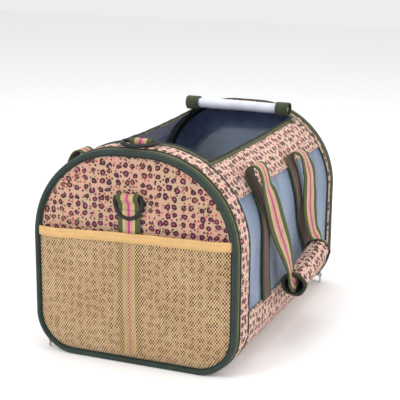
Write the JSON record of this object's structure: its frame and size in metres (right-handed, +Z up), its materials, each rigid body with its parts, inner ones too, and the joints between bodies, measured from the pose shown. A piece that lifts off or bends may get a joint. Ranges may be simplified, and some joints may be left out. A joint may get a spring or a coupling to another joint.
{
  "type": "soft-sided pet carrier",
  "caption": "Duffel-shaped soft pet carrier with zip-open end doors, mesh side windows, an open top with a rolled flap, and webbing carry handles.",
  "frame": {"origin": "centre of the object's box, on the surface it stands on", "axes": "+Z up, -Y towards the front door with the pocket, +X towards the carrier's right handle as seen from the front"},
  "size_m": [0.3614, 0.4315, 0.29],
  "materials": {
    "leopard_cloth": "plain-weave printed polyester, padded",
    "striped_webbing": "striped jacquard webbing",
    "green_piping": "corded piping in dark green cloth",
    "olive_tape": "woven binding and zip tape",
    "window_mesh": "open knitted mesh",
    "pocket_mesh": "open diamond mesh",
    "tan_binding": "folded woven binding",
    "flap_cloth": "soft mesh with a pale facing",
    "mat_cloth": "soft brushed cloth over foam",
    "base_board": "stiff board",
    "black_plastic": "moulded, satin",
    "zip_metal": "nickel-plated",
    "spring_wire": "drawn spring wire",
    "zip_teeth": "nylon coil"
  },
  "bodies": {
    "carrier": {"base_board": "base_board", "flap_loop_left": "olive_tape", "flap_loop_right": "olive_tape", "floor_panel": "leopard_cloth", "front_body_tape": "olive_tape", "front_gusset": "leopard_cloth", "front_seam_piping": "green_piping", "front_wire_hoop": "spring_wire", "front_zip_teeth": "zip_teeth", "lower_band_left": "leopard_cloth", "lower_band_right": "leopard_cloth", "opening_tape_front": "olive_tape", "opening_tape_left": "olive_tape", "opening_tape_rear": "olive_tape", "opening_tape_right": "olive_tape", "rear_body_tape": "olive_tape", "rear_gusset": "leopard_cloth", "rear_seam_piping": "green_piping", "rear_wire_hoop": "spring_wire", "rear_zip_teeth": "zip_teeth", "rolled_flap": "flap_cloth", "sewn_leg_left_front": "striped_webbing", "sewn_leg_left_rear": "striped_webbing", "sewn_leg_right_front": "striped_webbing", "sewn_leg_right_rear": "striped_webbing", "side_mesh_left": "window_mesh", "side_mesh_right": "window_mesh", "top_ring_tab": "striped_webbing", "upper_band_left": "leopard_cloth", "upper_band_right": "leopard_cloth"},
    "front_door": {"front_door_tape": "olive_tape", "front_panel": "leopard_cloth", "front_pocket": "pocket_mesh", "front_rim_piping": "green_piping", "front_ring_tab": "striped_webbing", "front_strap": "striped_webbing", "pocket_binding": "tan_binding"},
    "rear_door": {"rear_door_tape": "olive_tape", "rear_mesh": "window_mesh", "rear_panel": "leopard_cloth", "rear_rim_piping": "green_piping"},
    "front_ring": {"front_ring": "black_plastic"},
    "top_ring": {"top_ring": "black_plastic"},
    "right_handle": {"handle_strap_right": "striped_webbing", "grip_right": "leopard_cloth", "grip_binding_right_front": "olive_tape", "grip_binding_right_rear": "olive_tape"},
    "left_handle": {"handle_strap_left": "striped_webbing", "grip_left": "leopard_cloth", "grip_binding_left_front": "olive_tape", "grip_binding_left_rear": "olive_tape"},
    "front_zip_slider": {"front_zip_slider": "zip_metal"},
    "front_zip_pull": {"front_zip_pull": "zip_metal"},
    "rear_zip_slider": {"rear_zip_slider": "zip_metal"},
    "rear_zip_pull": {"rear_zip_pull": "zip_metal"},
    "top_zip_slider": {"top_zip_slider": "zip_metal"},
    "top_zip_pull": {"top_zip_pull": "zip_metal"},
    "floor_mat": {"floor_mat": "mat_cloth"}
  },
  "joints": [
    {"name": "front_door_hinge", "type": "hinge", "parent": "carrier", "child": "front_door", "pos_m": [0, -0.2095, 0], "axis": [1, 0, 0], "range_deg": [0, 90]},
    {"name": "rear_door_hinge", "type": "hinge", "parent": "carrier", "child": "rear_door", "pos_m": [0, 0.2155, 0], "axis": [-1, 0, 0], "range_deg": [0, 90]},
    {"name": "front_ring_swing", "type": "hinge", "parent": "front_door", "child": "front_ring", "pos_m": [-0.003, -0.2116, 0.2215], "axis": [-1, 0, 0], "range_deg": [0, 150]},
    {"name": "top_ring_swing", "type": "hinge", "parent": "carrier", "child": "top_ring", "pos_m": [0, -0.178, 0.2856], "axis": [-1, 0, 0], "range_deg": [0, 150]},
    {"name": "right_handle_swing", "type": "hinge", "parent": "carrier", "child": "right_handle", "pos_m": [0.1215, 0, 0.2335], "axis": [0, -1, 0], "range_deg": [0, 160]},
    {"name": "left_handle_swing", "type": "hinge", "parent": "carrier", "child": "left_handle", "pos_m": [-0.1215, 0, 0.2335], "axis": [0, 1, 0], "range_deg": [0, 160]},
    {"name": "front_zip_run", "type": "hinge", "parent": "carrier", "child": "front_zip_slider", "pos_m": [-0.086, -0.1958, 0.054], "axis": [0, 1, 0], "range_deg": [0, 45]},
    {"name": "front_pull_swing", "type": "hinge", "parent": "front_zip_slider", "child": "front_zip_pull", "pos_m": [-0.12779, -0.1958, 0.01221], "axis": [0, 1, 0], "range_deg": [-30, 120]},
    {"name": "rear_zip_run", "type": "hinge", "parent": "carrier", "child": "rear_zip_slider", "pos_m": [0.086, 0.2018, 0.054], "axis": [0, -1, 0], "range_deg": [0, 45]},
    {"name": "rear_pull_swing", "type": "hinge", "parent": "rear_zip_slider", "child": "rear_zip_pull", "pos_m": [0.12779, 0.2018, 0.01221], "axis": [0, -1, 0], "range_deg": [-30, 120]},
    {"name": "top_zip_run", "type": "slide", "parent": "carrier", "child": "top_zip_slider", "axis": [0, -1, 0], "range_m": [0, 0.3]},
    {"name": "top_pull_swing", "type": "hinge", "parent": "top_zip_slider", "child": "top_zip_pull", "pos_m": [0.08936, 0.1677, 0.26317], "axis": [-0.8275, 0, 0.5615], "range_deg": [0, 160]},
    {"name": "mat_lift", "type": "slide", "parent": "carrier", "child": "floor_mat", "axis": [0, 0, 1], "range_m": [0, 0.06]}
  ]
}
